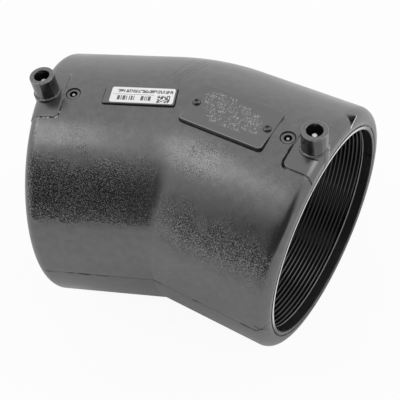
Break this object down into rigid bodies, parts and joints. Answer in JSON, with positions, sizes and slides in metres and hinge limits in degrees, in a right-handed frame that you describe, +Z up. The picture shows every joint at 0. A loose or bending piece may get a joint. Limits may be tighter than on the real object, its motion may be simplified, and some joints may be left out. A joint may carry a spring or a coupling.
{
  "type": "electrofusion elbow",
  "caption": "Black polyethylene electrofusion elbow, 22.5 degrees, with a heating coil in each socket, upright shrouded terminals and fusion indicators.",
  "frame": {"origin": "below the middle of the elbow's box, on the surface that its two legs lie on", "axes": "+X along the chord of the bend, from the left socket to the right one; -Y towards the inside of the bend; +Z up, the way the terminals point"},
  "size_m": [0.2816, 0.2326, 0.2335],
  "materials": {
    "body": "semi-matt moulded black polyethylene",
    "coil": "black coated resistance wire",
    "wire": "bare resistance wire",
    "contact": "tin-plated contact pin",
    "indicator": "moulded black polyethylene",
    "label": "white printed sticker"
  },
  "bodies": {
    "root": {"elbow_body": "body", "heating_coil_left": "coil", "heating_coil_right": "coil", "bridge_wire": "wire", "terminal_pin_left": "contact", "terminal_pin_right": "contact", "fusion_indicator_left": "indicator", "fusion_indicator_right": "indicator", "barcode_label": "label"}
  },
  "joints": []
}
